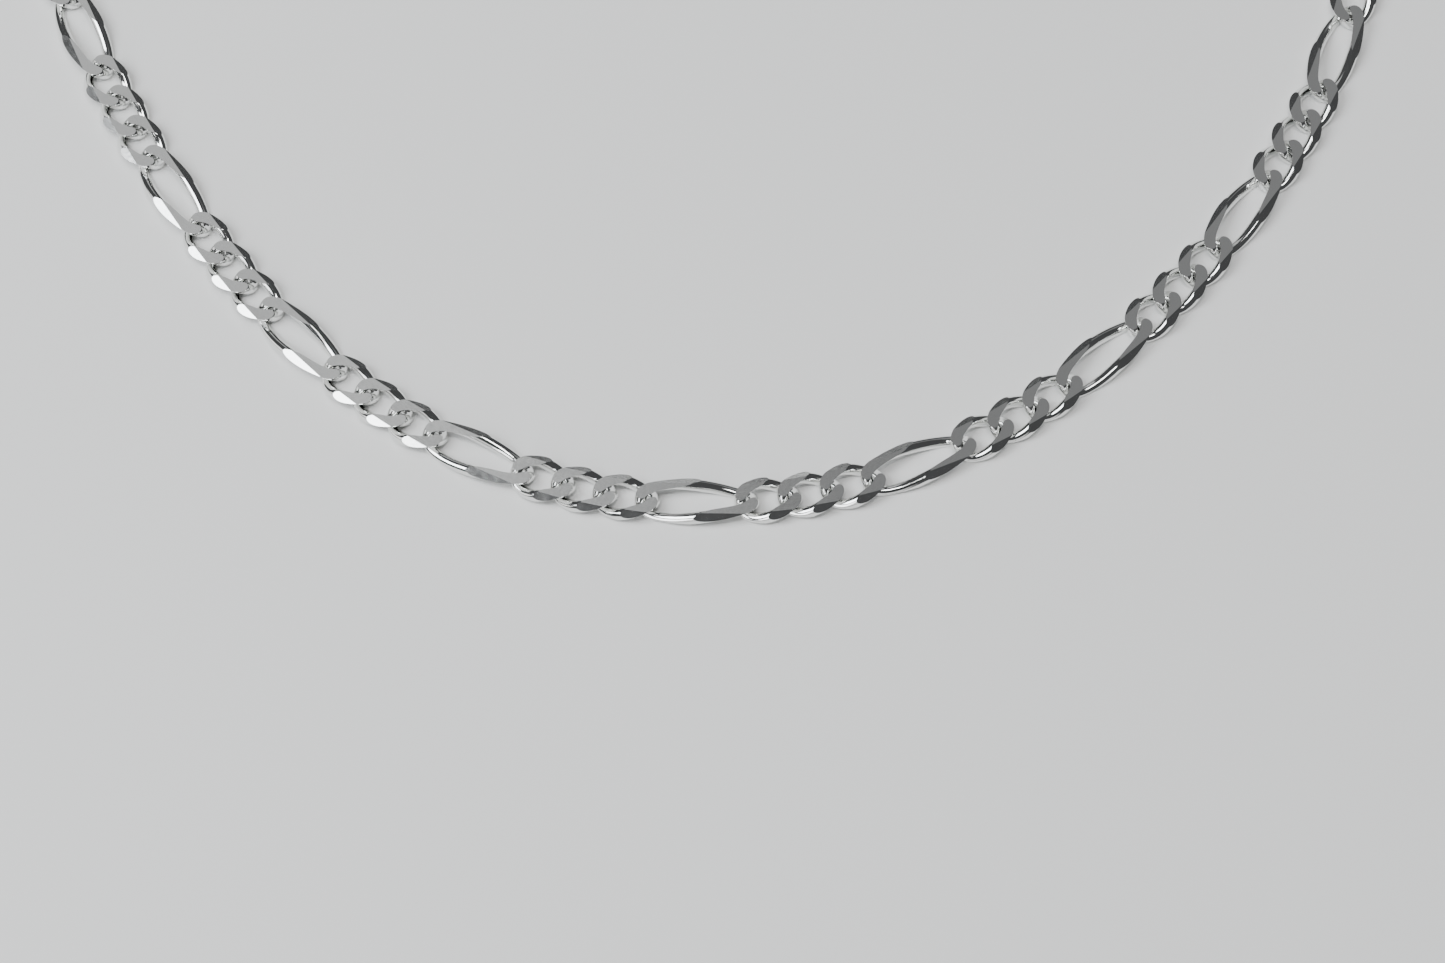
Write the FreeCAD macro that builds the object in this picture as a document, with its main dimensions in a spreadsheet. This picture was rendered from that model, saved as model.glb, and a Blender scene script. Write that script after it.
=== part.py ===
import FreeCAD, Part
import Sketcher
import os, math
from FreeCAD import Vector, Placement, Rotation

os.makedirs("parts", exist_ok=True)
doc = FreeCAD.newDocument("chain_necklace")

# ------------------------------------------------------------------ driving sizes (mm, degrees)
sheet = doc.addObject("Spreadsheet::Sheet", "sizes")
VALUES = [
    ("wire_dia", 1.25),        # round silver wire that the links are bent from
    ("chain_width", 5.0),      # over the widest part of a link
    ("chain_height", 1.5),     # between the two diamond-cut faces
    ("link_play", 0.10),       # slack between two neighbouring end bows
    ("short_pitch", 4.40),     # short link to short link
    ("long_pitch", 10.10),     # what a long link adds to the length
    ("twist_end", 45.0),       # twist of each end bow, left-handed
    ("short_round", 2.5),      # fullness of the oval, 2 = ellipse
    ("long_round", 3.0),
    ("top_half", 1.72),        # half width of the top cut face
    ("bevel_angle", 31.0),     # slope of the bevel cuts
    ("side_half", 2.62),       # the envelope's sides stay outside the wire
    ("envelope_len", 16.0),
    ("head_c0", -0.0264),      # heading of the chain along its length, rad, s in 100 mm
    ("head_c1", 1.8935),
    ("head_c2", -0.0871),
    ("head_c3", -1.3979),
    ("head_c4", 0.1601),
    ("head_c5", 0.7706),
    ("bend_end", 93.2),        # arc length where the gentle return starts
    ("back_rate", 0.0107),     # rad per mm after that
    ("origin_x", -0.75),         # the middle long link's place in the part's frame
    ("origin_y", -85.74),
    ("ring_wire", 0.70),       # jump ring at the clasp and end ring
    ("ring_mid", 3.90),        # centre-line diameter
    ("ring_tilt", 12.0),       # lean of each ring about the chain's length
    ("ring_cx", 6.35),         # ring centre from the centre of the last long link
    ("ring_cy", 0.12),
    ("ring_cz", 0.03),
    ("ring_qx", 4.40),         # the point where the ring's wire passes through the bow
    ("ring_pitch", 3.0),       # rise of the ring towards the clasp
    ("clasp_thick", 2.80),
    ("eye_thick", 1.10),
    ("eye_outer", 1.50),       # radius
    ("eye_hole", 1.00),        # radius
    ("eye_gap", 0.28),         # eye centre beyond the ring's far point
    ("hook_x", 8.0),           # hook centre from the eye centre
    ("hook_outer", 3.55),
    ("hook_inner", 2.25),
    ("hook_tip", -78.0),       # angle of the hook's tip seen from the hook centre
    ("pivot_x", 5.35),
    ("pivot_y", -1.65),
    ("pin_dia", 0.80),
    ("pin_len", 2.96),
    ("lever_thick", 1.60),
    ("lever_end", -48.0),        # before its tip is rounded off
    ("nose_reach", 4.05),      # the hook's nose starts this far from the pivot
    ("lever_reach", 3.95),     # and the lever's tip ends here
    ("boss_dia", 2.00),
    ("slot_width", 1.80),
    ("spring_wire", 0.20),
    ("spring_mid", 0.60),      # radius of the coil's centre line
    ("spring_pitch", 0.22),
    ("edge_round", 0.40),
]
cell = {}
for i, (name, val) in enumerate(VALUES):
    addr = "B%d" % (i + 1)
    sheet.set("A%d" % (i + 1), name)
    sheet.set(addr, "%.6f" % val)
    sheet.setAlias(addr, name)
doc.recompute()
def val(name):
    return float(getattr(sheet, name))

# ------------------------------------------------------------------ link centre lines
def oval_point(a, b, n, tw, u):
    c, s = math.cos(u), math.sin(u)
    x = a * math.copysign(abs(c) ** (2.0 / n), c)
    y = b * math.copysign(abs(s) ** (2.0 / n), s)
    t = -tw * x / a
    return Vector(x, y * math.cos(t), y * math.sin(t))

def link_centreline(a, b, n, tw, degs):
    # tangents of the twisted oval at the given angles give a closed polygon in space;
    # each of its corners is then turned by one tangent arc
    h = 1e-3
    pts = [oval_point(a, b, n, tw, math.radians(d)) for d in degs]
    tan = []
    for d in degs:
        u = math.radians(d)
        t = oval_point(a, b, n, tw, u + h) - oval_point(a, b, n, tw, u - h)
        t.normalize()
        tan.append(t)
    k = len(degs)
    corners = []
    for i in range(k):
        p, q, t, s = pts[i], pts[(i + 1) % k], tan[i], tan[(i + 1) % k]
        w = q - p
        ts = t.dot(s)
        den = 1.0 - ts * ts
        al = (w.dot(t) - ts * w.dot(s)) / den
        be = (ts * w.dot(t) - w.dot(s)) / den
        corners.append(((p + t * al) + (q + s * be)) * 0.5)
    length = [(corners[(i + 1) % k] - corners[i]).Length for i in range(k)]
    arcs = []
    for i in range(k):
        v = corners[i]
        e0 = (corners[i - 1] - v)
        e1 = (corners[(i + 1) % k] - v)
        e0.normalize(); e1.normalize()
        T = 0.48 * min(length[i - 1], length[i])
        p0, p1 = v + e0 * T, v + e1 * T
        turn = math.pi - e0.getAngle(e1)
        R = T / math.tan(turn / 2)
        bis = (e0 + e1); bis.normalize()
        pm = v + bis * (R / math.cos(turn / 2) - R)
        arcs.append((p0, pm, p1, R, turn))
    # half of the link: from the middle of the far side round the left bow to the middle
    # of the near side; the other half is this one turned by 180 degrees about Z
    first = degs.index(90)
    last = degs.index(270)
    start = (arcs[first - 1][2] + arcs[first][0]) * 0.5
    finish = (arcs[last - 1][2] + arcs[last][0]) * 0.5
    here = start
    edges = []
    total = 0.0
    for p0, pm, p1, R, turn in arcs[first:last]:
        edges.append(Part.LineSegment(here, p0).toShape())
        total += (p0 - here).Length + R * turn
        edges.append(Part.Arc(p0, pm, p1).toShape())
        here = p1
    edges.append(Part.LineSegment(here, finish).toShape())
    total += (finish - here).Length
    direction = (arcs[first][0] - start)
    direction.normalize()
    return Part.Wire(edges), start, direction, total, min(a[3] for a in arcs)

d = val("wire_dia")
b_half = (val("chain_width") - d) / 2
a_short = (val("short_pitch") + d + val("link_play")) / 2
a_long = (val("long_pitch") + d + val("link_play")) / 2
tw = math.radians(val("twist_end"))
KINDS = {
    "short": (a_short, val("short_round"), [0, 45, 90, 135, 180, 225, 270, 315]),
    "long": (a_long, val("long_round"), [0, 40, 70, 90, 110, 140, 180, 220, 250, 270, 290, 320]),
}

# the six-sided envelope of the diamond cut: flat top and bottom, two bevels on each side
env = doc.addObject("PartDesign::Body", "cut_envelope")
env.Label = "cut_envelope"
def plane(body, role):
    for f in body.Origin.OriginFeatures:
        if f.Role == role:
            return f
sk = env.newObject("Sketcher::SketchObject", "envelope_profile")
sk.AttachmentSupport = [(plane(env, "YZ_Plane"), "")]
sk.MapMode = "FlatFace"
hh = val("chain_height") / 2
th, sh, ba = val("top_half"), val("side_half"), math.radians(val("bevel_angle"))
zs = hh - (sh - th) * math.tan(ba)
P = [Vector(th, hh, 0), Vector(sh, zs, 0), Vector(sh, -zs, 0), Vector(th, -hh, 0),
     Vector(-th, -hh, 0), Vector(-sh, -zs, 0), Vector(-sh, zs, 0), Vector(-th, hh, 0)]
for i in range(8):
    sk.addGeometry(Part.LineSegment(P[i], P[(i + 1) % 8]), False)
for i in range(8):
    sk.addConstraint(Sketcher.Constraint("Coincident", i, 2, (i + 1) % 8, 1))
def bound(constraint, name, expr):
    k = sk.addConstraint(constraint)
    sk.renameConstraint(k, name)
    sk.setExpression("Constraints." + name, expr)
# corner points placed from the origin; x of the sketch is the chain's width
X_EXPR = ["sizes.top_half", "sizes.side_half", "sizes.side_half", "sizes.top_half"]
ZS = "(sizes.chain_height / 2 - (sizes.side_half - sizes.top_half) * tan(sizes.bevel_angle * 1 deg))"
Z_EXPR = ["sizes.chain_height / 2", ZS, "-" + ZS, "-sizes.chain_height / 2"]
for i in range(8):
    j = i if i < 4 else 7 - i
    sx = "" if i < 4 else "-"
    bound(Sketcher.Constraint("DistanceX", -1, 1, i, 1, P[i].x), "px%d" % i, sx + X_EXPR[j])
    bound(Sketcher.Constraint("DistanceY", -1, 1, i, 1, P[i].y), "pz%d" % i, Z_EXPR[j])
pad = env.newObject("PartDesign::Pad", "envelope_pad")
pad.Profile = sk
pad.SideType = "Symmetric"
pad.setExpression("Length", "sizes.envelope_len")
doc.recompute()

# each link is one oval of round wire, twisted and then cut flat; it is swept as two halves
masters = {}
def half_link(kind, name, turned):
    a, n, degs = KINDS[kind]
    wire, start, direction, total, rmin = link_centreline(a, b_half, n, tw, degs)
    turn = Placement(Vector(0, 0, 0), Rotation(Vector(0, 0, 1), 180.0 if turned else 0.0))
    line = doc.addObject("Part::Feature", name + "_centreline")
    line.Shape = wire
    line.Placement = turn
    ring = doc.addObject("Part::Circle", name + "_section")
    ring.setExpression("Radius", "sizes.wire_dia / 2")
    ring.Placement = turn.multiply(Placement(start, Rotation(Vector(0, 0, 1), direction)))
    sweep = doc.addObject("Part::Sweep", name + "_wire")
    sweep.Sections = [ring]
    sweep.Spine = (line, ["Edge%d" % (i + 1) for i in range(len(wire.Edges))])
    sweep.Solid = True
    sweep.Frenet = False
    sweep.Transition = "Transformed"
    return sweep, total, rmin

for kind in ("short", "long"):
    one, total, rmin = half_link(kind, kind + "_left", False)
    two, total, rmin = half_link(kind, kind + "_right", True)
    ring = doc.addObject("Part::Fuse", kind + "_ring")
    ring.Base = one
    ring.Tool = two
    common = doc.addObject("Part::Common", kind + "_link")
    common.Base = ring
    common.Tool = env
    doc.recompute()
    expect = math.pi * d * d / 4 * total * 2
    print(kind, "centre line", round(2 * total, 3), "least radius", round(rmin, 3), "wire volume",
          round(ring.Shape.Volume, 4), "expected", round(expect, 4), "cut volume", round(common.Shape.Volume, 3),
          "faces", len(common.Shape.Faces), "solids", len(common.Shape.Solids), common.Shape.isValid())
    assert abs(ring.Shape.Volume - expect) < 0.01 * expect
    masters[kind] = common

# ------------------------------------------------------------------ where the links lie
half = {"short": a_short - (d + val("link_play")) / 2, "long": a_long - (d + val("link_play")) / 2}
coef = [val("head_c%d" % i) for i in range(6)]
def heading(s):
    e = val("bend_end")
    q = max(-e, min(e, s))
    h = sum(c * (q / 100.0) ** i for i, c in enumerate(coef))
    return h + val("back_rate") * (s - q)

LONGS = 19                                     # long links, the middle one is the tenth
SEEN = range(-4, 4)                            # groups of three whose links are separate nodes
mid_z = val("chain_height") / 2
links = {}                                     # (long index, 0..3) -> kind, centre, heading
def place(sign):
    x, y, s = val("origin_x"), val("origin_y"), 0.0
    kind, h = "long", heading(0.0)
    links[(0, 0)] = (kind, x, y, h)
    for step in range(1, 4 * (LONGS // 2) + 1):
        new = "long" if step % 4 == 0 else "short"
        s2 = s + sign * (half[kind] + half[new])
        h2 = heading(s2)
        x += sign * (math.cos(h) * half[kind] + math.cos(h2) * half[new])
        y += sign * (math.sin(h) * half[kind] + math.sin(h2) * half[new])
        kind, h, s = new, h2, s2
        i = sign * step
        links[(i // 4, i % 4)] = (kind, x, y, h)
place(1)
place(-1)
def link_placement(key):
    kind, x, y, h = links[key]
    return Placement(Vector(x, y, mid_z), Rotation(Vector(0, 0, 1), math.degrees(h)))

nodes = []
def instance(name, key):
    o = doc.addObject("App::Link", name)
    o.LinkedObject = masters[links[key][0]]
    o.LinkTransform = False
    o.Placement = link_placement(key)
    o.Label = name
    return o
first = -(LONGS // 2)
for j in range(first, LONGS // 2 + 1):
    nodes.append(instance("long_link_%02d" % (j - first + 1), (j, 0)))
    if j == LONGS // 2:
        break
    g = j - first + 1
    if j in SEEN:
        for k in (1, 2, 3):
            nodes.append(instance("short_link_%02d%s" % (g, "abc"[k - 1]), (j, k)))
    else:
        three = [instance("short_link_%02d%s" % (g, "abc"[k - 1]), (j, k)) for k in (1, 2, 3)]
        trio = doc.addObject("Part::Compound", "short_trio_%02d" % g)
        trio.Links = three
        trio.Label = "short_trio_%02d" % g
        nodes.append(trio)

# ------------------------------------------------------------------ end rings
rt, rp = math.radians(val("ring_tilt")), val("ring_pitch")
def end_frame(key, back):
    kind, x, y, h = links[key]
    return Placement(Vector(x, y, mid_z), Rotation(Vector(0, 0, 1), math.degrees(h) + (180 if back else 0)))
tilt = Placement(Vector(val("ring_cx"), val("ring_cy"), val("ring_cz")), Rotation(Vector(1, 0, 0), val("ring_tilt")))
bow_point = Vector(val("ring_qx"), 0, 0)
rise = Placement(Vector(0, 0, 0), Rotation(Vector(0, 1, 0), -rp), bow_point)
def end_ring(name, frame, pose):
    t = doc.addObject("Part::Torus", name)
    t.Label = name
    t.setExpression("Radius1", "sizes.ring_mid / 2")
    t.setExpression("Radius2", "sizes.ring_wire / 2")
    t.Placement = frame.multiply(pose)
    return t
right = end_frame((LONGS // 2, 0), False)
left = end_frame((first, 0), True)
clasp_ring = end_ring("clasp_jump_ring", right, rise.multiply(tilt))
catch_ring = end_ring("catch_ring", left, tilt)
nodes += [clasp_ring, catch_ring]

# ------------------------------------------------------------------ lobster clasp
far = rise.multiply(tilt).multVec(Vector(val("ring_mid") / 2, 0, 0))
eye = Vector(far.x + val("eye_gap"), far.y, val("eye_outer") + 0.02 - mid_z)
clasp_frame = right.multiply(Placement(eye, Rotation()))

def add_sketch(body, name, role, geometry, cons):
    s = body.newObject("Sketcher::SketchObject", name)
    s.AttachmentSupport = [(plane(body, role), "")]
    s.MapMode = "FlatFace"
    for g in geometry:
        s.addGeometry(g, False)
    for c, cname, expr in cons:
        i = s.addConstraint(c)
        if expr:
            s.renameConstraint(i, cname)
            s.setExpression("Constraints." + cname, expr)
    return s
C = Sketcher.Constraint
def circle_sketch(body, name, role, x, y, xe, ye, r, re):
    cons = [(C("Radius", 0, r), "round_r", re)]
    if xe:
        cons += [(C("DistanceX", -1, 1, 0, 3, x), "place_x", xe), (C("DistanceY", -1, 1, 0, 3, y), "place_y", ye)]
    else:
        cons += [(C("Coincident", 0, 3, -1, 1), "", None)]
    return add_sketch(body, name, role, [Part.Circle(Vector(x, y, 0), Vector(0, 0, 1), r)], cons)
def pad(body, name, sketch, expr, kind="PartDesign::Pad"):
    p = body.newObject(kind, name)
    p.Profile = sketch
    p.SideType = "Symmetric"
    p.setExpression("Length", expr)
    return p
def sector_sketch(body, name, cx, r0, r1, a0, a1, cxe, r0e, r1e, cy=0.0, cye=None):
    c = Vector(cx, cy, 0)
    z = Vector(0, 0, 1)
    t0, t1 = math.radians(a0), math.radians(a1)
    def pt(r, t):
        return Vector(cx + r * math.cos(t), cy + r * math.sin(t), 0)
    outer = Part.ArcOfCircle(Part.Circle(c, z, r1), t0, t1)
    inner = Part.ArcOfCircle(Part.Circle(c, z, r0), t0, t1)
    l0 = Part.LineSegment(pt(r0, t0), pt(r1, t0))
    l1 = Part.LineSegment(pt(r0, t1), pt(r1, t1))
    cons = [(C("Coincident", 2, 1, 1, 1), "", None), (C("Coincident", 2, 2, 0, 1), "", None),
            (C("Coincident", 3, 1, 1, 2), "", None), (C("Coincident", 3, 2, 0, 2), "", None),
            (C("Coincident", 0, 3, 1, 3), "", None),
            (C("DistanceX", -1, 1, 0, 3, cx), "place_x", cxe),
            (C("DistanceY", -1, 1, 0, 3, cy), "place_y", cye) if cye else (C("PointOnObject", 0, 3, -1), "", None),
            (C("Radius", 0, r1), "r_outer", r1e), (C("Radius", 1, r0), "r_inner", r0e)]
    return add_sketch(body, name, "XY_Plane", [outer, inner, l0, l1], cons)
def poly_sketch(body, name, pts):
    k = len(pts)
    v = [Vector(x, y, 0) for x, y, xe, ye in pts]
    geo = [Part.LineSegment(v[i], v[(i + 1) % k]) for i in range(k)]
    cons = [(C("Coincident", i, 2, (i + 1) % k, 1), "", None) for i in range(k)]
    for i, (x, y, xe, ye) in enumerate(pts):
        cons.append((C("DistanceX", -1, 1, i, 1, x), "x%d" % i, xe))
        cons.append((C("DistanceY", -1, 1, i, 1, y), "y%d" % i, ye))
    return add_sketch(body, name, "XY_Plane", geo, cons)

hx, ho, hi = val("hook_x"), val("hook_outer"), val("hook_inner")
px, py = val("pivot_x"), val("pivot_y")
claw = doc.addObject("PartDesign::Body", "lobster_body")
claw.Label = "lobster_body"
pad(claw, "eye_pad", circle_sketch(claw, "eye_disc", "XZ_Plane", 0, 0, None, None, val("eye_outer"), "sizes.eye_outer"), "sizes.eye_thick")
H = "sizes.hook_x"
neck = poly_sketch(claw, "neck_outline", [
    (1.15, -0.55, "sizes.eye_hole + 0.15", "-sizes.eye_thick / 2"),
    (3.4, -1.75, H + " - 4.6", "-1.75"),
    (5.0, -2.75, H + " - 3.0", "-2.75"),
    (5.9, -2.55, H + " - 2.1", "-2.55"),
    (6.1, 2.0, H + " - 1.9", "2.0"),
    (4.6, 2.35, H + " - 3.4", "2.35"),
    (3.2, 1.75, H + " - 4.8", "1.75"),
    (1.15, 0.55, "sizes.eye_hole + 0.15", "sizes.eye_thick / 2"),
])
pad(claw, "neck_pad", neck, "sizes.clasp_thick")
hook = sector_sketch(claw, "hook_outline", hx, hi, ho, val("hook_tip"), 215.0, H, "sizes.hook_inner", "sizes.hook_outer")
pad(claw, "hook_pad", hook, "sizes.clasp_thick")
bore = circle_sketch(claw, "hook_bore", "XY_Plane", hx, 0, H, "0", hi, "sizes.hook_inner")
pad(claw, "hook_opening", bore, "sizes.clasp_thick * 2", "PartDesign::Pocket")
doc.recompute()
rounded = claw.newObject("PartDesign::Fillet", "rounded_edges")
base = doc.getObject("hook_opening")
names = []
ct = val("clasp_thick") / 2
for i, e in enumerate(base.Shape.Edges):
    b = e.BoundBox
    if abs(b.ZMin - b.ZMax) < 1e-6 and abs(abs(b.ZMin) - ct) < 1e-6 and e.Curve.TypeId == "Part::GeomCircle" \
            and abs(e.Curve.Radius - ho) < 1e-6 and e.Length > 3.0:
        names.append("Edge%d" % (i + 1))
rounded.Base = (base, names)
rounded.setExpression("Radius", "sizes.edge_round")
doc.recompute()
eyeh = circle_sketch(claw, "eye_bore", "XZ_Plane", 0, 0, None, None, val("eye_hole"), "sizes.eye_hole")
pad(claw, "eye_opening", eyeh, "sizes.eye_thick * 3", "PartDesign::Pocket")
slot = poly_sketch(claw, "slot_outline", [
    (4.15, -4.4, "sizes.pivot_x - 1.2", "-4.4"), (7.6, -4.4, H + " - 0.4", "-4.4"),
    (7.6, -0.5, H + " - 0.4", "-0.5"), (4.15, -0.5, "sizes.pivot_x - 1.2", "-0.5")])
pad(claw, "lever_slot", slot, "sizes.slot_width", "PartDesign::Pocket")
nose = sector_sketch(claw, "nose_outline", px, 2.6, val("nose_reach"), -48.0, 4.0, "sizes.pivot_x", "sizes.nose_reach - 1.45", "sizes.nose_reach", py, "sizes.pivot_y")
pad(claw, "nose_face", nose, "sizes.clasp_thick * 2", "PartDesign::Pocket")
pinh = circle_sketch(claw, "pin_bore", "XY_Plane", px, py, "sizes.pivot_x", "sizes.pivot_y", val("pin_dia") / 2, "sizes.pin_dia / 2")
pad(claw, "pin_opening", pinh, "sizes.clasp_thick * 2", "PartDesign::Pocket")
doc.recompute()
print("claw", rounded.State, len(names), rounded.Shape.isValid(), claw.Shape.isValid(), len(claw.Shape.Solids), claw.Shape.BoundBox, claw.Shape.Volume)
claw.Placement = clasp_frame

lever = doc.addObject("PartDesign::Body", "trigger_lever")
lever.Label = "trigger_lever"
arm = sector_sketch(lever, "arm_outline", hx, hi + 0.1, ho - 0.2, 227.0, 360.0 + val("lever_end"), H, "sizes.hook_inner + 0.1", "sizes.hook_outer - 0.2")
pad(lever, "arm_pad", arm, "sizes.lever_thick")
tip = sector_sketch(lever, "tip_outline", px, val("lever_reach"), 6.0, -60.0, 30.0, "sizes.pivot_x", "sizes.lever_reach", "sizes.lever_reach + 2.05", py, "sizes.pivot_y")
pad(lever, "tip_face", tip, "sizes.clasp_thick * 2", "PartDesign::Pocket")
boss = circle_sketch(lever, "boss_outline", "XY_Plane", px, py, "sizes.pivot_x", "sizes.pivot_y", val("boss_dia") / 2, "sizes.boss_dia / 2")
bp = lever.newObject("PartDesign::Pad", "boss_pad")
bp.Profile = boss
bp.SideType = "Two sides"
bp.Length = 0.2
bp.setExpression("Length", "sizes.slot_width / 2 - 0.7")
bp.setExpression("Length2", "sizes.lever_thick / 2")
thumb = circle_sketch(lever, "thumb_outline", "XY_Plane", hx - 1.75, -3.55, H + " - 1.75", "-3.55", 0.75, "0.75")
pad(lever, "thumb_pad", thumb, "sizes.lever_thick")
lh = circle_sketch(lever, "lever_bore", "XY_Plane", px, py, "sizes.pivot_x", "sizes.pivot_y", val("pin_dia") / 2 + 0.05, "sizes.pin_dia / 2 + 0.05")
pad(lever, "lever_opening", lh, "sizes.clasp_thick * 2", "PartDesign::Pocket")
doc.recompute()
print("lever", lever.Shape.isValid(), len(lever.Shape.Solids), lever.Shape.BoundBox)
lever.Placement = clasp_frame

pin_core = doc.addObject("Part::Cylinder", "pin_core")
pin_core.setExpression("Radius", "sizes.pin_dia / 2")
pin_core.setExpression("Height", "sizes.pin_len")
pin_core.Placement = clasp_frame.multiply(Placement(Vector(px, py, -val("pin_len") / 2), Rotation()))
doc.recompute()
pin = doc.addObject("Part::Fillet", "lever_pin")
pin.Label = "lever_pin"
pin.Base = pin_core
rims = [i + 1 for i, e in enumerate(pin_core.Shape.Edges) if e.Curve.TypeId == "Part::GeomCircle"]
pin.Edges = [(i, 0.12, 0.12) for i in rims]

helix = doc.addObject("Part::Helix", "spring_line")
helix.setExpression("Radius", "sizes.spring_mid")
helix.setExpression("Pitch", "sizes.spring_pitch")
helix.setExpression("Height", "sizes.spring_pitch * 2")
helix.Placement = clasp_frame.multiply(Placement(Vector(px, py, 0.32), Rotation()))
sec = doc.addObject("Part::Circle", "spring_section")
sec.setExpression("Radius", "sizes.spring_wire / 2")
sec.Placement = clasp_frame.multiply(Placement(Vector(px + val("spring_mid"), py, 0.32), Rotation(Vector(1, 0, 0), 90)))
spring = doc.addObject("Part::Sweep", "lever_spring")
spring.Label = "lever_spring"
spring.Sections = [sec]
spring.Spine = (helix, ["Edge1"])
spring.Solid = True
spring.Frenet = True
nodes += [claw, lever, pin, spring]
doc.recompute()

# ------------------------------------------------------------------ checks and files
bad = [o.Name for o in doc.Objects if ("Invalid" in o.State or "Error" in o.State)]
assert not bad, bad
whole = []
for o in nodes:
    shape = Part.getShape(o)
    assert not shape.isNull() and shape.isValid(), o.Label
    assert len(shape.Solids) == (3 if "trio" in o.Label else 1), o.Label
    shape.exportStep("parts/%s.step" % o.Label)
    whole.append(shape)
box = None
for shp in whole:
    b = shp.optimalBoundingBox() if hasattr(shp, "optimalBoundingBox") else shp.BoundBox
    box = b if box is None else box.united(b)
print("nodes", len(nodes), "box", box, "centre", box.Center, "volume", sum(w.Volume for w in whole))
for nm in ("middle",):
    print("first and last long link", links[(first, 0)], links[(LONGS // 2, 0)])
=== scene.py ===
import bpy
import bmesh
import math
import numpy as np
from mathutils import Matrix, Vector


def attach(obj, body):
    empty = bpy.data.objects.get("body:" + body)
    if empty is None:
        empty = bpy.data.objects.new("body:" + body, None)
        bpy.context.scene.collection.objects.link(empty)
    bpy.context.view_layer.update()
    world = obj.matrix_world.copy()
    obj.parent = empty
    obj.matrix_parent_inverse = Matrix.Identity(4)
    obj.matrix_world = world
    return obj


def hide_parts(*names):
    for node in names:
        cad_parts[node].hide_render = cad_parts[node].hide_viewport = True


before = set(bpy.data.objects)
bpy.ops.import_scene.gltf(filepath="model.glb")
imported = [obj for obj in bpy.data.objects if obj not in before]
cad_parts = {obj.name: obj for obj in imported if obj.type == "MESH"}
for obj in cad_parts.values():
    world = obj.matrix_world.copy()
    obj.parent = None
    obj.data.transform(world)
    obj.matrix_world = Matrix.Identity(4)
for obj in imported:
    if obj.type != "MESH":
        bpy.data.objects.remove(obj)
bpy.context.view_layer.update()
MM = 0.001

# ---------------------------------------------------------------- sizes, as in the CAD part (mm)
WIRE = 1.25
WIDTH = 5.0
HEIGHT = 1.5
PLAY = 0.10
SHORT_PITCH = 4.40
LONG_PITCH = 10.10
TWIST = math.radians(45.0)
TOP_HALF = 1.72
BEVEL = math.radians(31.0)
B_HALF = (WIDTH - WIRE) / 2
A = {"short": (SHORT_PITCH + WIRE + PLAY) / 2, "long": (LONG_PITCH + WIRE + PLAY) / 2}
FULL = {"short": 2.5, "long": 3.0}
HALF_PITCH = {k: A[k] - (WIRE + PLAY) / 2 for k in A}
HEAD = [-0.0264, 1.8935, -0.0871, -1.3979, 0.1601, 0.7706]
BEND_END = 93.2
BACK = 0.0107
X0, Y0 = -0.75, -85.74


def heading(s):
    q = max(-BEND_END, min(BEND_END, s))
    return sum(c * (q / 100.0) ** i for i, c in enumerate(HEAD)) + BACK * (s - q)


links = {(0, 0): ("long", X0, Y0, heading(0.0))}
for sign in (1, -1):
    x, y, s, kind, h = X0, Y0, 0.0, "long", heading(0.0)
    for step in range(1, 37):
        new = "long" if step % 4 == 0 else "short"
        s2 = s + sign * (HALF_PITCH[kind] + HALF_PITCH[new])
        h2 = heading(s2)
        x += sign * (math.cos(h) * HALF_PITCH[kind] + math.cos(h2) * HALF_PITCH[new])
        y += sign * (math.sin(h) * HALF_PITCH[kind] + math.sin(h2) * HALF_PITCH[new])
        kind, h, s = new, h2, s2
        links[((sign * step) // 4, (sign * step) % 4)] = (kind, x, y, h)


# ---------------------------------------------------------------- one link
def oval(a, b, n, u):
    c, s = np.cos(u), np.sin(u)
    x = a * np.sign(c) * np.abs(c) ** (2.0 / n)
    y = b * np.sign(s) * np.abs(s) ** (2.0 / n)
    t = -TWIST * x / a
    return np.stack([x, y * np.cos(t), y * np.sin(t)], axis=-1)


def even_curve(a, b, n, count):
    u = np.linspace(0, 2 * np.pi, 6001)
    p = oval(a, b, n, u)
    d = np.r_[0, np.cumsum(np.linalg.norm(np.diff(p, axis=0), axis=1))]
    want = np.linspace(0, d[-1], count, endpoint=False)
    return np.stack([np.interp(want, d, p[:, i]) for i in range(3)], axis=-1)


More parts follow.
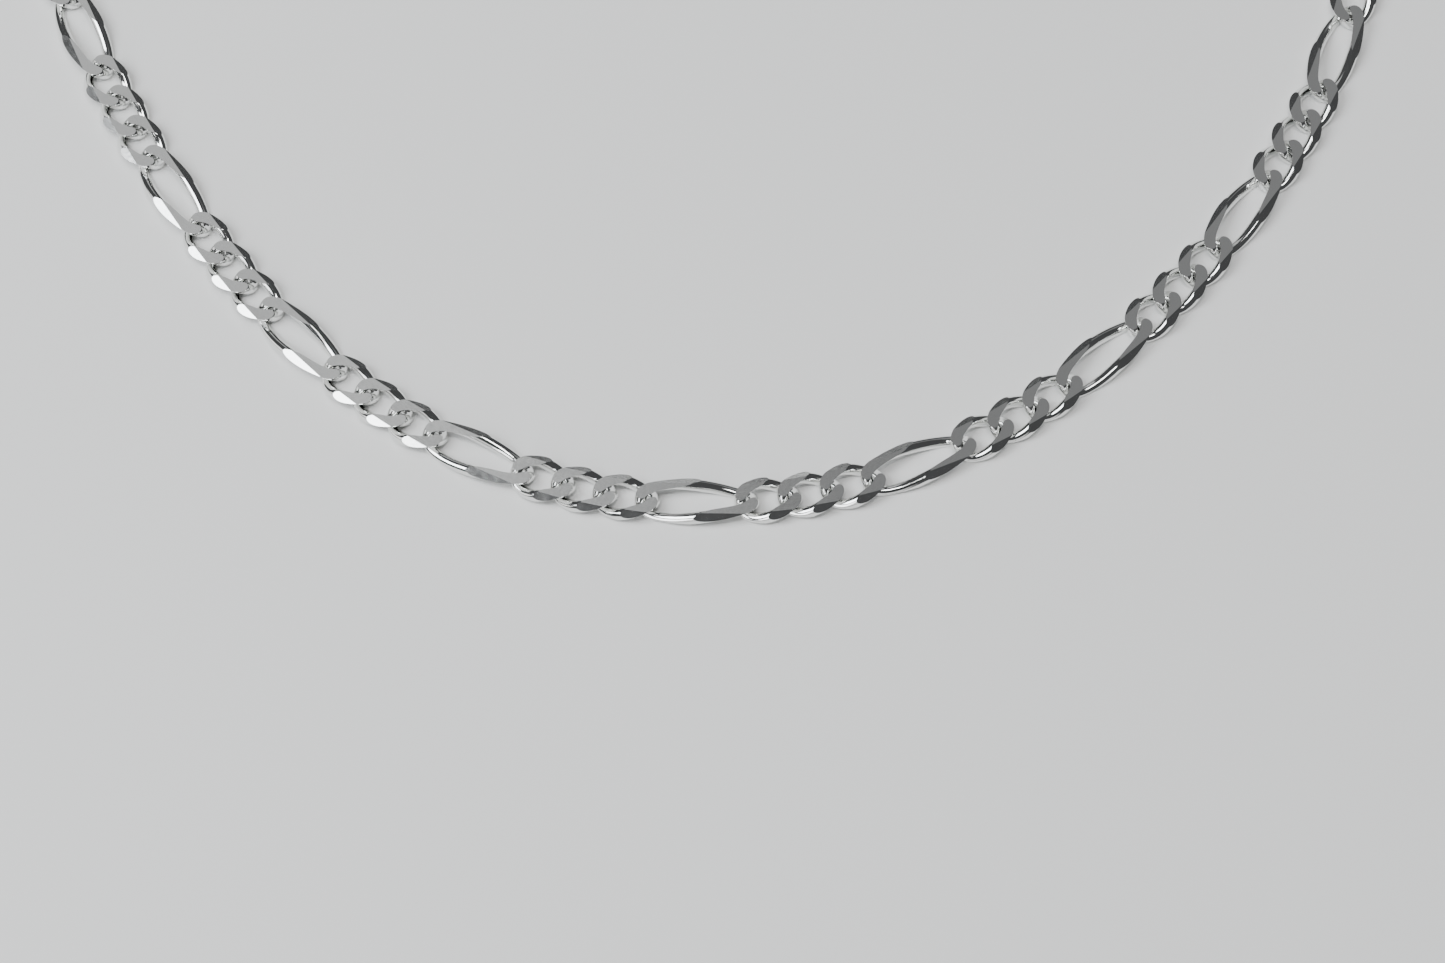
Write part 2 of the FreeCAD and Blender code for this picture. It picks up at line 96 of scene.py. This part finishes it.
def link_mesh(kind, around=44):
    count = 150 if kind == "short" else 232
    a, n = A[kind], FULL[kind]
    p = even_curve(a, B_HALF, n, count)
    for _ in range(2):
        p = 0.25 * np.roll(p, 1, 0) + 0.5 * p + 0.25 * np.roll(p, -1, 0)
    t = np.roll(p, -1, 0) - np.roll(p, 1, 0)
    t /= np.linalg.norm(t, axis=1)[:, None]
    # a frame that turns least, then its leftover turn spread along the link
    f = np.zeros_like(p)
    f[0] = np.cross(t[0], [0, 0, 1.0])
    f[0] /= np.linalg.norm(f[0])
    for i in range(1, count):
        v = f[i - 1] - t[i] * (f[i - 1] @ t[i])
        f[i] = v / np.linalg.norm(v)
    v = f[-1] - t[0] * (f[-1] @ t[0])
    v /= np.linalg.norm(v)
    left = math.atan2(np.cross(v, f[0]) @ t[0], v @ f[0])
    verts = []
    for i in range(count):
        w = np.cross(t[i], f[i])
        spin = left * i / count
        for k in range(around):
            q = 2 * np.pi * k / around + spin
            verts.append(p[i] + (WIRE / 2) * (math.cos(q) * f[i] + math.sin(q) * w))
    faces = []
    for i in range(count):
        j = (i + 1) % count
        for k in range(around):
            m = (k + 1) % around
            faces.append((i * around + k, i * around + m, j * around + m, j * around + k))
    bm = bmesh.new()
    vs = [bm.verts.new(v) for v in verts]
    for q in faces:
        bm.faces.new([vs[i] for i in q])
    bmesh.ops.recalc_face_normals(bm, faces=bm.faces)
    wire = bm.faces.layers.int.new("cut")
    # the diamond cut: two flats and four bevels, each closed by a plane face
    planes = [((0, 0, HEIGHT / 2), (0, 0, 1)), ((0, 0, -HEIGHT / 2), (0, 0, -1))]
    for sy in (1, -1):
        for sz in (1, -1):
            planes.append(((0, sy * TOP_HALF, sz * HEIGHT / 2), (0, sy * math.sin(BEVEL), sz * math.cos(BEVEL))))
    for co, no in planes:
        geom = bm.verts[:] + bm.edges[:] + bm.faces[:]
        r = bmesh.ops.bisect_plane(bm, geom=geom, plane_co=co, plane_no=no, dist=1e-5, clear_outer=True)
        edges = [e for e in r["geom_cut"] if isinstance(e, bmesh.types.BMEdge) and e.is_boundary]
        if edges:
            r2 = bmesh.ops.holes_fill(bm, edges=edges, sides=0)
            for fc in r2["faces"]:
                fc[wire] = 1
    bmesh.ops.remove_doubles(bm, verts=bm.verts[:], dist=2e-4)
    bmesh.ops.recalc_face_normals(bm, faces=bm.faces)
    for fc in bm.faces:
        fc.smooth = True
    mesh = bpy.data.meshes.new(kind + "_link_mesh")
    bm.to_mesh(mesh)
    open_edges = sum(1 for e in bm.edges if not e.is_manifold)
    print(kind, "faces", len(bm.faces), "open edges", open_edges, "volume", round(bm.calc_volume(), 3))
    bm.free()
    return mesh


masters = {k: link_mesh(k) for k in ("short", "long")}


# ---------------------------------------------------------------- materials
def new_material(name):
    m = bpy.data.materials.new(name)
    m.use_nodes = True
    nt = m.node_tree
    bsdf = nt.nodes["Principled BSDF"]
    return m, nt, bsdf


def silver(name, cut):
    m, nt, b = new_material(name)
    b.inputs["Base Color"].default_value = (0.86, 0.865, 0.85, 1)
    b.inputs["Metallic"].default_value = 1.0
    tc = nt.nodes.new("ShaderNodeTexCoord")
    seed = nt.nodes.new("ShaderNodeAttribute")
    seed.attribute_name = "seed"
    grain = nt.nodes.new("ShaderNodeTexNoise")
    grain.noise_dimensions = "4D"
    grain.inputs["Scale"].default_value = 1700.0
    grain.inputs["Detail"].default_value = 4.0
    nt.links.new(tc.outputs["Object"], grain.inputs["Vector"])
    nt.links.new(seed.outputs["Fac"], grain.inputs["W"])
    rough = nt.nodes.new("ShaderNodeMapRange")
    rough.inputs["From Min"].default_value = 0.3
    rough.inputs["From Max"].default_value = 0.7
    rough.inputs["To Min"].default_value = 0.12 if cut else 0.06
    rough.inputs["To Max"].default_value = 0.17 if cut else 0.12
    nt.links.new(grain.outputs["Fac"], rough.inputs["Value"])
    nt.links.new(rough.outputs["Result"], b.inputs["Roughness"])
    # fine scratches: noise drawn out along the link, and small pits
    scale = nt.nodes.new("ShaderNodeMapping")
    scale.inputs["Scale"].default_value = (900.0, 9000.0, 9000.0)
    scale.inputs["Rotation"].default_value = (0.0, 0.0, 0.35 if cut else 0.0)
    nt.links.new(tc.outputs["Object"], scale.inputs["Vector"])
    lines = nt.nodes.new("ShaderNodeTexNoise")
    lines.noise_dimensions = "4D"
    lines.inputs["Scale"].default_value = 1.0
    lines.inputs["Detail"].default_value = 2.0
    nt.links.new(scale.outputs["Vector"], lines.inputs["Vector"])
    nt.links.new(seed.outputs["Fac"], lines.inputs["W"])
    pits = nt.nodes.new("ShaderNodeTexNoise")
    pits.noise_dimensions = "4D"
    pits.inputs["Scale"].default_value = 2600.0
    pits.inputs["Detail"].default_value = 3.0
    nt.links.new(tc.outputs["Object"], pits.inputs["Vector"])
    nt.links.new(seed.outputs["Fac"], pits.inputs["W"])
    b1 = nt.nodes.new("ShaderNodeBump")
    b1.inputs["Strength"].default_value = 0.30 if cut else 0.12
    b1.inputs["Distance"].default_value = 0.00001
    nt.links.new(lines.outputs["Fac"], b1.inputs["Height"])
    b2 = nt.nodes.new("ShaderNodeBump")
    b2.inputs["Strength"].default_value = 0.15 if cut else 0.10
    b2.inputs["Distance"].default_value = 0.00003
    nt.links.new(pits.outputs["Fac"], b2.inputs["Height"])
    nt.links.new(b1.outputs["Normal"], b2.inputs["Normal"])
    nt.links.new(b2.outputs["Normal"], b.inputs["Normal"])
    return m


mat_wire = silver("silver_wire", False)
mat_cut = silver("silver_diamond_cut", True)


def plain_metal(name, color, low, high, size):
    m, nt, b = new_material(name)
    b.inputs["Base Color"].default_value = (*color, 1)
    b.inputs["Metallic"].default_value = 1.0
    tc = nt.nodes.new("ShaderNodeTexCoord")
    grain = nt.nodes.new("ShaderNodeTexNoise")
    grain.inputs["Scale"].default_value = size
    grain.inputs["Detail"].default_value = 4.0
    nt.links.new(tc.outputs["Object"], grain.inputs["Vector"])
    rough = nt.nodes.new("ShaderNodeMapRange")
    rough.inputs["From Min"].default_value = 0.3
    rough.inputs["From Max"].default_value = 0.7
    rough.inputs["To Min"].default_value = low
    rough.inputs["To Max"].default_value = high
    nt.links.new(grain.outputs["Fac"], rough.inputs["Value"])
    nt.links.new(rough.outputs["Result"], b.inputs["Roughness"])
    bump = nt.nodes.new("ShaderNodeBump")
    bump.inputs["Strength"].default_value = 0.12
    bump.inputs["Distance"].default_value = 0.00002
    nt.links.new(grain.outputs["Fac"], bump.inputs["Height"])
    nt.links.new(bump.outputs["Normal"], b.inputs["Normal"])
    return m


mat_cast = plain_metal("silver_cast", (0.86, 0.865, 0.85), 0.10, 0.18, 1500.0)
mat_spring = plain_metal("spring_steel", (0.56, 0.56, 0.55), 0.22, 0.32, 2500.0)

# ---------------------------------------------------------------- the chain
rng = np.random.default_rng(11)


def local_matrix(key, seed):
    kind, x, y, h = links[key]
    r = np.random.default_rng(seed)
    roll = math.radians(r.uniform(-0.9, 0.9))
    yaw = math.radians(r.uniform(-0.5, 0.5)) * (0.5 if kind == "long" else 1.0)
    pitch = math.radians(r.uniform(-0.3, 0.3)) * (0.5 if kind == "long" else 1.0)
    lift = 0.045
    if abs(key[0]) == 9 and key[1] == 0:
        roll = yaw = pitch = lift = 0.0  # the rings pass close through the two end links
    return (Matrix.Translation(Vector((x * MM, y * MM, (HEIGHT / 2 + lift) * MM)))
            @ Matrix.Rotation(h + yaw, 4, "Z") @ Matrix.Rotation(pitch, 4, "Y") @ Matrix.Rotation(roll, 4, "X"))


def make_links(name, keys, body, nodes):
    bm = bmesh.new()
    origin = links[keys[len(keys) // 2]]
    place = (Matrix.Translation(Vector((origin[1] * MM, origin[2] * MM, HEIGHT / 2 * MM)))
             @ Matrix.Rotation(origin[3], 4, "Z"))
    back = place.inverted()
    seeds = []
    for key in keys:
        num = key[0] * 4 + key[1] + 200
        part = masters[links[key][0]].copy()
        part.transform(Matrix.Diagonal((MM, MM, MM, 1)))
        part.transform(back @ local_matrix(key, num))
        n0 = len(bm.verts)
        bm.from_mesh(part)
        seeds.append((n0, len(bm.verts), (num * 0.618) % 1.0 * 40.0))
        bpy.data.meshes.remove(part)
    cut = bm.faces.layers.int.get("cut")
    for f in bm.faces:
        f.material_index = f[cut]
    mesh = bpy.data.meshes.new(name)
    bm.to_mesh(mesh)
    bm.free()
    att = mesh.attributes.new("seed", "FLOAT", "POINT")
    val = np.zeros(len(mesh.vertices), dtype=np.float32)
    for a, b, s in seeds:
        val[a:b] = s
    att.data.foreach_set("value", val)
    mesh.materials.append(mat_wire)
    mesh.materials.append(mat_cut)
    o = bpy.data.objects.new(name, mesh)
    bpy.context.scene.collection.objects.link(o)
    o.matrix_world = place
    bev = o.modifiers.new("edge", "BEVEL")
    bev.limit_method = "ANGLE"
    bev.angle_limit = math.radians(18)
    bev.width = 0.028 * MM
    bev.segments = 2
    bev.use_clamp_overlap = True
    bev.harden_normals = False
    wn = o.modifiers.new("shade", "WEIGHTED_NORMAL")
    wn.keep_sharp = False
    wn.weight = 80
    bpy.context.view_layer.update()
    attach(o, body)
    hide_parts(*nodes)
    return o


chain = []
for j in range(-9, 10):
    g = j + 10
    n = "long_link_%02d" % g
    chain.append(make_links("links_" + n, [(j, 0)], n, [n]))
    if j == 9:
        break
    if -4 <= j < 4:
        for k in (1, 2, 3):
            n = "short_link_%02d%s" % (g, "abc"[k - 1])
            chain.append(make_links("links_" + n, [(j, k)], n, [n]))
    else:
        n = "short_trio_%02d" % g
        chain.append(make_links("links_" + n, [(j, 1), (j, 2), (j, 3)], n, [n]))

# the CAD's own clasp pieces keep their shape and get the metal
for n in ("clasp_jump_ring", "catch_ring", "lobster_body", "trigger_lever", "lever_pin", "lever_spring"):
    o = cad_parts[n]
    o.data.materials.clear()
    o.data.materials.append(mat_spring if n == "lever_spring" else mat_cast)

# ---------------------------------------------------------------- floor and light
def emission(name, color, strength):
    m = bpy.data.materials.new(name)
    m.use_nodes = True
    nt = m.node_tree
    nt.nodes.clear()
    out = nt.nodes.new("ShaderNodeOutputMaterial")
    e = nt.nodes.new("ShaderNodeEmission")
    e.inputs["Color"].default_value = (*color, 1)
    e.inputs["Strength"].default_value = strength
    nt.links.new(e.outputs[0], out.inputs["Surface"])
    return m


def panel(name, at, look, size, mat):
    bm = bmesh.new()
    sx, sy = size[0] / 2, size[1] / 2
    v = [bm.verts.new(p) for p in ((-sx, -sy, 0), (sx, -sy, 0), (sx, sy, 0), (-sx, sy, 0))]
    bm.faces.new(v)
    mesh = bpy.data.meshes.new(name)
    bm.to_mesh(mesh)
    bm.free()
    o = bpy.data.objects.new(name, mesh)
    bpy.context.scene.collection.objects.link(o)
    o.location = at
    o.rotation_euler = (Vector(look) - Vector(at)).to_track_quat("-Z", "Y").to_euler()
    mesh.materials.append(mat)
    return o


floor_mat, nt, b = new_material("floor_pale")
b.inputs["Base Color"].default_value = (0.78, 0.78, 0.77, 1)
b.inputs["Roughness"].default_value = 0.85
bm = bmesh.new()
for p in ((-3, -3, 0), (3, -3, 0), (3, 3, 0), (-3, 3, 0)):
    bm.verts.new(p)
bm.verts.ensure_lookup_table()
bm.faces.new(bm.verts)
mesh = bpy.data.meshes.new("floor")
bm.to_mesh(mesh)
bm.free()
floor = bpy.data.objects.new("floor", mesh)
bpy.context.scene.collection.objects.link(floor)
floor.location = (0, 0, -0.00002)
mesh.materials.append(floor_mat)


def area(name, at, look, size, watts, color=(1, 1, 1)):
    d = bpy.data.lights.new(name, "AREA")
    d.shape = "RECTANGLE"
    d.size, d.size_y = size
    d.energy = watts
    d.color = color
    o = bpy.data.objects.new(name, d)
    bpy.context.scene.collection.objects.link(o)
    o.location = at
    o.rotation_euler = (Vector(look) - Vector(at)).to_track_quat("-Z", "Y").to_euler()
    return o


C0 = Vector((0.0, -0.06, 0.0))


def soft(name, toward, dist, size, radiance, color=(1, 1, 1)):
    """A soft box that gives the same brightness whatever its size and distance."""
    at = C0 + Vector(toward).normalized() * dist
    return area(name, at, C0, size, radiance * math.pi * size[0] * size[1], color)


soft("soft_left", (-0.66, -0.09, 0.74), 0.85, (0.46, 0.58), 8.5, (0.93, 0.965, 1.0))
soft("soft_left_front", (-0.52, -0.71, 0.47), 0.90, (0.26, 0.48), 4.5, (0.96, 0.98, 1.0))
soft("soft_left_low", (-0.97, 0.05, 0.22), 0.90, (0.60, 0.26), 1.6)
soft("soft_top", (0.04, -0.17, 0.985), 0.85, (0.36, 0.15), 12.0)
for n, x, w, e in (("a", -0.245, 0.16, 0.52), ("b", -0.132, 0.065, 0.34), ("c", -0.05, 0.10, 0.22), ("d", 0.20, 0.40, 0.16)):
    soft("soft_back_" + n, (x, 0.66, 0.75), 1.00, (w, 0.72), e, (0.98, 0.99, 1.0))
soft("soft_front", (-0.20, -0.93, 0.26), 1.00, (0.90, 0.34), 1.0)
fill = soft("soft_fill", (0.05, 0.10, 1.0), 1.10, (0.9, 0.9), 2.0)
fill.visible_glossy = False

world = bpy.data.worlds.new("studio")
world.use_nodes = True
bg = world.node_tree.nodes["Background"]
bg.inputs["Color"].default_value = (0.55, 0.56, 0.58, 1)
bg.inputs["Strength"].default_value = 0.12
bpy.context.scene.world = world

# ---------------------------------------------------------------- camera
cam_data = bpy.data.cameras.new("camera")
cam_data.sensor_width = 36.0
cam_data.lens = 36.0 * 4000.0 / 1445.0
cam_data.clip_start = 0.01
cam_data.clip_end = 20.0
cam = bpy.data.objects.new("camera", cam_data)
bpy.context.scene.collection.objects.link(cam)
el, dist, turn = math.radians(61.87), 0.4075, math.radians(-0.50)
aim = Vector((X0 + 2.77, Y0 + 2.04, HEIGHT / 2)) * MM
fw = Vector((0, math.cos(el), -math.sin(el)))
right = Vector((1, 0, 0))
up = right.cross(fw)
r2 = right * math.cos(turn) + up * math.sin(turn)
u2 = up * math.cos(turn) - right * math.sin(turn)
m = Matrix((r2, u2, -fw)).transposed().to_4x4()
m.translation = aim - fw * dist + (u2 * 0.225 - r2 * 0.178) * MM
cam.matrix_world = m
bpy.context.scene.camera = cam
